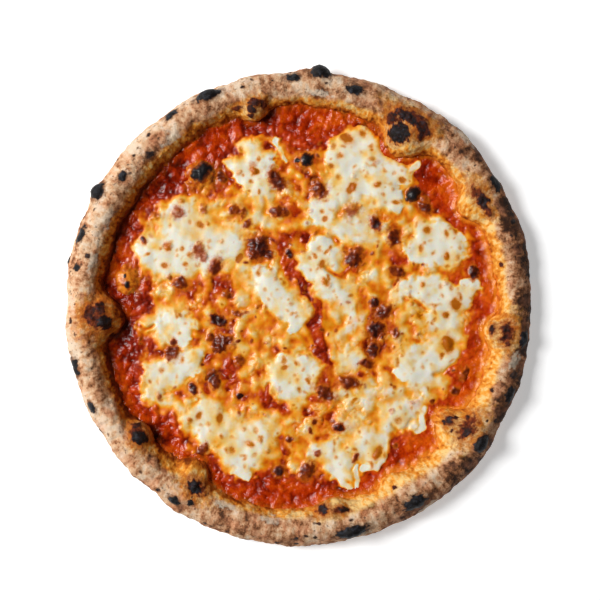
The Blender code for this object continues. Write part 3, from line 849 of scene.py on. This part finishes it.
def add_lone_bubbles(points, ragged, grit, height, values):
    """The dough bubbles that stand up through the topping, and their char."""
    for x, y, wide, long, tall in LONE_BUBBLES:
        reach = np.hypot((points[:, 0] - x) / wide, (points[:, 1] - y) / long) + ragged * 0.2
        dome = np.clip(1 - reach**2, 0, 1) ** 0.75
        raise_to(height, ..., SAUCE - 1 + (tall + 1) * dome + (ragged + grit) * 0.4 * (reach < 1))
        raise_to(values["crust"], ..., smooth(1.5 - reach, 0, 1.0))
    for x, y, long, wide, turn in LONE_CHARS:
        along, across = on_ring(turn, 1.0)[:2], on_ring(turn + 90, 1.0)[:2]
        offset = points[:, :2] - (x, y)
        reach = np.hypot(offset @ along / long, offset @ across / wide) + ragged * 0.35
        raise_to(values["char"], ..., smooth(1.5 - reach, 0, 1.1))
        height += (0.5 + 0.3 * grit) * smooth(1.3 - reach, 0, 0.9)


def cheese_relief(points, feet):
    """Height of the melted cheese and the values that colour it."""
    base, white, depth, crease = richness_of(points)
    curd, swell = wander(points, 7.5, 41, 2), wander(points, 7.5, 41, 1)
    crumb, grit = clods(points, 4.2, 47) - 0.5, clods(points, 2.2, 48) - 0.5
    frothy = smooth(wander(points, 14, 46, 2), 0.0, 0.35) * (1 - white)
    ridge = wander(points, 4.4, 53, 2)
    melt = base + (curd * 0.36 + ridge * 0.12 + crumb * 0.14 * frothy) * smooth(base, 0, 0.12)
    cream = 0.9 + 0.3 * wander(points, 10, 43, 3)
    rich = melt * (1 - white) + cream * white
    bare_height, pulp = sauce_relief(points, feet)
    rich += smooth(0.3 - rich, 0, 0.25) * (pulp - 0.5) * 0.16

    # Where the melt is thin it lies just over the sauce, and at its edge it dips under.
    melt_height = SAUCE + 0.6 + 0.5 * smooth(rich, 0.3, 0.7)
    melt_height = melt_height + 0.9 * white * smooth(depth, -6, 8) - crease * 0.6
    melt_height += (swell * 0.8 + curd * 0.2 + (crumb * 0.5 + grit * 0.15) * frothy) * (1 - 0.85 * white)
    melt_height += wander(points, 11, 44, 2) * 0.8
    inland = melt_limit(points, feet) - radius_of(points)
    lift = 0.04 + 0.21 * smooth(inland, 2, 7)
    body = smooth(rich, 0.1, 0.45)
    height = bare_height + lift + (melt_height - bare_height - lift) * body
    height = height - 1.6 * smooth(1.6 - inland, 0, 1.6)

    specks = smooth(wander(points, 4.2, 60, 1) + 0.5 * wander(points, 18, 61, 2), 0.1, 0.9)
    values = {name: np.zeros(len(points)) for name in ("brown", "halo", "crust", "char")}
    # The froth value paints a highlight on frothy ridges, partly their thin pale skin.
    values |= dict(rich=rich, white=white, froth=frothy * smooth(crumb, 0, 0.4))
    values |= dict(eye=0.8 * specks * smooth(rich, 0.45, 0.7), **sauce_tones(points, feet, pulp))
    ragged = wander(points, 2.6, 45, 3)
    dice = random.Random(9)
    blisters = BLISTERS + scattered(dice, SMALL_BLISTERS, BLISTER_LIMIT, (0.6, 1.6), (0.25, 0.6))
    eyes = EYES + scattered(dice, SMALL_EYES, EYE_LIMIT, (0.5, 1.4))
    add_blisters(points, blisters, dice, ragged, height, values)
    add_eyes(points, eyes, dice, height, values)
    add_lone_bubbles(points, ragged, grit, height, values)
    return height, values


def make_cheese(feet):
    """The melted cheese, cut to where its melt runs and to the dough bubbles that stand up through it."""

    def covers(points):
        radius = radius_of(points)
        covered = radius < melt_limit(points, feet)
        for x, y, wide, long, _ in LONE_BUBBLES:
            covered |= np.hypot((points[:, 0] - x) / wide, (points[:, 1] - y) / long) < 1.3
        return covered & (radius < along_ring(feet, heading_of(points)) - 0.5)

    def relief(points):
        return cheese_relief(points, feet)

    return sheet("melted_mozzarella", CHEESE_NODES, CHEESE_SPACING, covers, relief)


# ---------------------------------------------------------------- materials


class Number:
    """A socket that carries a number. Arithmetic on it adds Math nodes."""

    def __init__(self, finish, socket):
        self.finish, self.socket = finish, socket

    def math(self, operation, *values):
        made = self.finish.node("ShaderNodeMath", {"operation": operation}, dict(enumerate(values)))
        return Number(self.finish, made.outputs[0])

    def __add__(self, other):
        return self.math("ADD", self, other)

    def __sub__(self, other):
        return self.math("SUBTRACT", self, other)

    def __rsub__(self, other):
        return self.math("SUBTRACT", other, self)

    def __mul__(self, other):
        return self.math("MULTIPLY", self, other)

    __radd__, __rmul__ = __add__, __mul__

    def above(self, low, high):
        """0 below low, 1 above high, and an even curve between."""
        limits = {"Value": self, "From Min": low, "From Max": high}
        made = self.finish.node("ShaderNodeMapRange", {"interpolation_type": "SMOOTHSTEP"}, limits)
        return Number(self.finish, made.outputs["Result"])


def paint(red, green, blue):
    """A colour typed as 0 to 255 on screen, as the linear colour that a shader takes."""
    parts = (channel / 255 for channel in (red, green, blue))
    return (*(part / 12.92 if part <= 0.04045 else ((part + 0.055) / 1.055) ** 2.4 for part in parts), 1)


class Nodes:
    """A node tree. Each node is added with its settings first, then the values or links of its sockets."""

    def __init__(self, owner):
        owner.use_nodes = True
        self.tree = owner.node_tree

    def node(self, kind, settings=None, values=None):
        made = self.tree.nodes.new(kind)
        for setting, value in (settings or {}).items():
            if setting == "stops":
                self.fill_ramp(made.color_ramp, value)
            else:
                setattr(made, setting, value)
        for socket, value in (values or {}).items():
            self.feed(made.inputs[socket], value)
        return made

    def fill_ramp(self, ramp, stops):
        while len(ramp.elements) < len(stops):
            ramp.elements.new(0.5)
        for element, (position, *colour) in zip(ramp.elements, stops):
            element.position, element.color = position, paint(*colour)

    def feed(self, socket, value):
        if isinstance(value, Number):
            value = value.socket
        if isinstance(value, bpy.types.NodeSocket):
            self.tree.links.new(value, socket)
        else:
            socket.default_value = value


class Finish(Nodes):
    """One material: a finish with its constants, over which other values and colours are laid."""

    def __init__(self, name, **constants):
        self.material = bpy.data.materials.new(name)
        super().__init__(self.material)
        self.place = self.node("ShaderNodeTexCoord").outputs["Object"]
        self.finish(**constants)

    def stored(self, name):
        """A value stored on the piece's vertices."""
        return Number(self, self.node("ShaderNodeAttribute", {"attribute_name": name}).outputs["Fac"])

    def cloud(self, size, detail=3, rough=0.55):
        """Noise of about 0 to 1, in patches of that size in millimetres."""
        values = {"Vector": self.place, "Scale": 1000 / size, "Detail": detail, "Roughness": rough}
        return Number(self, self.node("ShaderNodeTexNoise", None, values).outputs[0])

    def ramp(self, number, *stops):
        """A colour that follows the number through stops: where, then red, green and blue."""
        return self.node("ShaderNodeValToRGB", {"stops": stops}, {"Fac": number}).outputs["Color"]

    def mix(self, share, first, second):
        made = self.node("ShaderNodeMix", {"data_type": "RGBA"}, {0: share, 6: first, 7: second})
        return made.outputs[2]

    def bumped(self, *heights):
        """Chains bumps, each a height and its depth in millimetres."""
        normal = None
        for height, depth in heights:
            values = {"Height": height, "Distance": depth * MM, "Strength": 1.0}
            if normal is not None:
                values["Normal"] = normal
            normal = self.node("ShaderNodeBump", None, values).outputs["Normal"]
        return normal

    def finish(self, **sockets):
        for socket, value in sockets.items():
            self.feed(self.tree.nodes["Principled BSDF"].inputs[socket.replace("_", " ")], value)
        return self.material


def crust_skin(f, fine, blotch, patch):
    """The rim's baked skin, pale to dark brown, with painted shade on the outer wall away from the window.
    """
    toast = f.stored("toast") + (fine - 0.5) * 0.6 + (blotch - 0.5) * 1.2 + (patch - 0.5) * 0.3
    skin = f.ramp(
        toast,
        (0.0, 227, 202, 175),
        (0.28, 219, 180, 142),
        (0.5, 198, 147, 108),
        (0.68, 163, 108, 70),
        (0.84, 108, 68, 42),
        (1.0, 58, 37, 26),
    )
    rosy = f.cloud(8).above(0.45, 0.7)
    return f.mix(rosy * 0.35, skin, paint(212, 138, 100))


def inner_wall(f, fine, blotch):
    """The golden wall that faces the topping, browner and redder where it is darkened: by more heat, and on
    the left by painted shade.
    """
    browned, golden = f.stored("browned"), f.stored("golden")
    tone = (f.cloud(8) - 0.5) * (browned * 0.5 + 0.6) + f.stored("streaks") * 0.36 + browned * 0.36
    tone = tone + f.stored("toast") * 0.2 + f.stored("drop") * (browned * 0.2 + 0.16) - golden * 0.22
    wall = f.ramp(
        tone + (fine - 0.5) * 0.15,
        (0.06, 242, 202, 130),
        (0.26, 238, 164, 64),
        (0.48, 214, 122, 28),
        (0.68, 158, 78, 14),
        (0.9, 88, 38, 8),
    )
    ember = (golden * browned + (blotch - 0.5) * 0.4).above(0.3, 0.95)
    return f.mix(ember * 0.6, wall, paint(218, 104, 30))


def stained_foot(f, fine):
    """The foot of the wall, where oil and sauce have soaked in, darker with the wall's painted shade on the
    left.
    """
    return f.ramp(
        f.cloud(4) * 0.6 + f.stored("browned") * 0.45 + (fine - 0.5) * 0.2,
        (0.2, 244, 146, 40),
        (0.4, 216, 98, 12),
        (0.6, 160, 62, 6),
        (0.85, 98, 34, 3),
    )


def plain_underside(f):
    """The pale underside with its brown and its few dark spots."""
    underside = f.mix(f.cloud(16, 4).above(0.35, 0.7), paint(224, 190, 146), paint(146, 98, 62))
    return f.mix(f.cloud(11, 3, 0.5).above(0.62, 0.7), underside, paint(50, 36, 32))


def baked_dough():
    f = Finish("baked dough", Specular_IOR_Level=0.18)
    fine, blotch, patch = f.cloud(1.2, 4), f.cloud(4.5, 4, 0.6), f.cloud(11)
    on_wall, stained = f.stored("wall"), f.stored("stain")
    colour = f.mix(on_wall, crust_skin(f, fine, blotch, patch), inner_wall(f, fine, blotch))
    colour = f.mix((stained + (blotch - 0.5) * 0.6).above(0.0, 1.0), colour, stained_foot(f, fine))
    dusted = (f.stored("flour") + (fine - 0.5) * 0.7).above(0.25, 0.95)
    colour = f.mix(dusted * 0.6, colour, paint(230, 214, 190))
    freckles = f.cloud(1.9, 3, 0.6).above(0.56, 0.68) * f.cloud(9, 2).above(0.35, 0.6)
    freckles = freckles * (1 - stained) * (1 - on_wall * 0.75)
    colour = f.mix(freckles * 0.75, colour, paint(88, 50, 30))
    colour = f.mix(f.stored("under"), colour, plain_underside(f))
    halo = (f.stored("halo") + (fine - 0.5) * 0.9 + (blotch - 0.5) * 0.5).above(0.2, 1.2)
    colour = f.mix(halo * 0.85, colour, f.mix(on_wall, paint(112, 70, 42), paint(176, 92, 26)))
    brown = f.stored("brown")
    scorch = brown * 0.4 + f.cloud(3) * 0.8
    burnt = f.ramp(scorch, (0.4, 176, 84, 26), (0.62, 112, 42, 14), (0.85, 46, 18, 10))
    smudge = f.ramp(scorch, (0.4, 134, 92, 62), (0.62, 88, 58, 42), (0.85, 40, 28, 25))
    colour = f.mix((brown + (fine - 0.5) * 0.6).above(0.1, 0.75), colour, f.mix(on_wall, smudge, burnt))
    char = (f.stored("char") + (fine - 0.5) * 0.6).above(0.3, 1.0)
    # Char, near black, with grey-blue patches: partly ash, partly a painted sheen of reflected sky.
    ash_and_sheen = f.mix(f.cloud(2.4).above(0.45, 0.75), paint(15, 11, 11), paint(48, 50, 58))
    colour = f.mix(char, colour, ash_and_sheen)
    bump = f.bumped((f.cloud(1.0, 5, 0.65), 0.6), (f.cloud(3.2, 4), 0.9))
    return f.finish(Base_Color=colour, Roughness=0.8 - stained * 0.35 - char * 0.35, Normal=bump)


def sauce_colour(f):
    """Sauce from deep red to orange, with oil towards the rim."""
    fine, grain = f.cloud(1.6, 4), f.cloud(4)
    tone = f.stored("pulp") * 0.6 + f.stored("toned") * 0.38 + (fine - 0.5) * 0.45 + (grain - 0.5) * 0.4
    colour = f.ramp(tone, (0.1, 84, 10, 0), (0.35, 136, 26, 0), (0.6, 184, 52, 2), (0.95, 222, 96, 12))
    oily = (f.stored("oily") + (grain - 0.5) * 0.8).above(0.2, 1.0)
    colour = f.mix(oily * 0.85, colour, f.ramp(f.cloud(6), (0.35, 160, 48, 0), (0.65, 218, 98, 8)))
    foot = (f.stored("foot") + (grain - 0.5) * 0.4).above(0.1, 0.9)
    return f.mix(foot * 0.8, colour, paint(232, 138, 36))


def tomato_sauce():
    f = Finish("tomato sauce", Specular_IOR_Level=0.32)
    bump = f.bumped((f.cloud(2.2, 3, 0.5), 0.4), (f.cloud(1.2), 0.34))
    return f.finish(Base_Color=sauce_colour(f), Roughness=0.18, Normal=bump)


def melted_mozzarella():
    f = Finish(
        "melted mozzarella",
        Specular_IOR_Level=0.3,
        Coat_Weight=0.06,
        Coat_Roughness=0.15,
        Subsurface_Weight=0.4,
        Subsurface_Radius=(1.0, 0.5, 0.2),
        Subsurface_Scale=0.0011,
    )
    fine, grain, patch = f.cloud(1.3), f.cloud(3.2, 3, 0.5), f.cloud(7)
    white, brown, char = f.stored("white"), f.stored("brown"), f.stored("char")
    rich = f.stored("rich") * 1.14 - 0.078
    rich = rich + (fine - 0.5) * 0.07 + (grain - 0.5) * 0.13 + (patch - 0.5) * 0.16
    colour = f.ramp(
        rich,
        (0.02, 124, 30, 2),
        (0.14, 170, 60, 4),
        (0.27, 208, 94, 4),
        (0.41, 230, 130, 8),
        (0.54, 237, 162, 36),
        (0.67, 237, 192, 104),
        (0.80, 231, 212, 166),
        (0.94, 229, 227, 212),
    )
    colour = f.mix(rich.above(0.06, 0.3), sauce_colour(f), colour)
    melted = rich.above(0.3, 0.5)
    rosy = f.cloud(5).above(0.45, 0.7) * (1 - white) * melted
    colour = f.mix(rosy * 0.22, colour, paint(228, 150, 96))
    amber = f.cloud(13).above(0.5, 0.66) * (1 - white) * melted
    colour = f.mix(amber * 0.4, colour, paint(238, 142, 4))
    # Pale peach on the frothy ridges of the melt: partly thin skin, partly painted highlight of wet frills.
    froth = f.stored("froth") * grain.above(0.35, 0.6) * melted
    colour = f.mix(froth * 0.5, colour, paint(240, 192, 142))
    crust = f.mix(f.cloud(4).above(0.36, 0.66), paint(222, 132, 32), paint(166, 70, 6))
    colour = f.mix(f.stored("crust"), colour, crust)
    eye = f.stored("eye") * (grain * 0.8 + fine * 0.6 + 0.3)
    golden = f.ramp(eye, (0.1, 240, 206, 100), (0.5, 222, 146, 6), (0.95, 180, 96, 0))
    colour = f.mix(eye * 1.3, colour, golden)
    halo = (f.stored("halo") + (fine - 0.5) * 0.4 + (grain - 0.5) * 0.3).above(0.1, 1.0)
    colour = f.mix(halo * 0.8, colour, paint(190, 92, 14))
    browned = brown + (fine - 0.5) * 0.2
    burnt = f.ramp(
        browned * 0.95 + (grain - 0.5) * 0.25,
        (0.15, 208, 114, 18),
        (0.4, 164, 72, 6),
        (0.65, 112, 36, 2),
        (0.95, 52, 10, 3),
    )
    colour = f.mix(browned.above(0.05, 0.55), colour, burnt)
    charred_part = char + (fine - 0.5) * 0.5
    colour = f.mix(charred_part.above(0.05, 0.5), colour, paint(96, 40, 18))
    colour = f.mix(charred_part.above(0.35, 0.85), colour, paint(17, 12, 14))
    soft = 1 - white * 0.85
    bump = f.bumped((fine * soft, 0.05), (grain * soft, 0.12))
    rough = 0.34 + white * 0.14 + char * 0.2 + brown * 0.1
    return f.finish(Base_Color=colour, Roughness=rough, Normal=bump)


# ---------------------------------------------------------------- stage


def make_floor():
    bm = bmesh.new()
    bmesh.ops.create_grid(bm, x_segments=1, y_segments=1, size=FLOOR_HALF_SIZE)
    bmesh.ops.translate(bm, verts=bm.verts, vec=(0, 0, FLOOR_LEVEL))
    mesh = bpy.data.meshes.new("floor")
    bm.to_mesh(mesh)
    bm.free()
    mesh.materials.append(Finish("pale floor", **FLOOR_LOOK).material)
    floor = set_in_scene("floor", mesh)


def make_room():
    """A dim room, darkest overhead."""
    world = bpy.data.worlds.new("studio")
    room = Nodes(world)
    place = room.node("ShaderNodeTexCoord").outputs["Generated"]
    height = room.node("ShaderNodeSeparateXYZ", None, {"Vector": place}).outputs["Z"]
    limits = {"From Min": 0.2, "From Max": 0.75, "To Min": ROOM_LIGHT, "To Max": OVERHEAD_LIGHT}
    shade = room.node("ShaderNodeMapRange", None, {"Value": height, **limits}).outputs["Result"]
    background = room.tree.nodes["Background"].inputs
    room.feed(background["Strength"], shade)
    room.feed(background["Color"], ROOM_COLOUR)
    bpy.context.scene.world = world


def make_window():
    """A window to the left, turned to the middle of the pizza."""
    light = bpy.data.lights.new("window", "AREA")
    light.size, light.energy = WINDOW_SIZE, WINDOW_POWER
    window = set_in_scene("window", light, WINDOW_PLACE)
    window.rotation_euler = (-window.location).to_track_quat("-Z", "Y").to_euler()


def make_camera():
    """The camera looks straight down."""
    camera = bpy.data.cameras.new("camera")
    camera.lens = CAMERA_LENS
    bpy.context.scene.camera = set_in_scene("camera", camera, CAMERA_PLACE)
    bpy.context.scene.view_settings.view_transform = "Standard"


def main():
    dough, feet = make_dough()
    sauce = make_sauce(feet)
    cheese = make_cheese(feet)
    dough.data.materials.append(baked_dough())
    sauce.data.materials.append(tomato_sauce())
    cheese.data.materials.append(melted_mozzarella())
    make_floor()
    make_room()
    make_window()
    make_camera()


main()
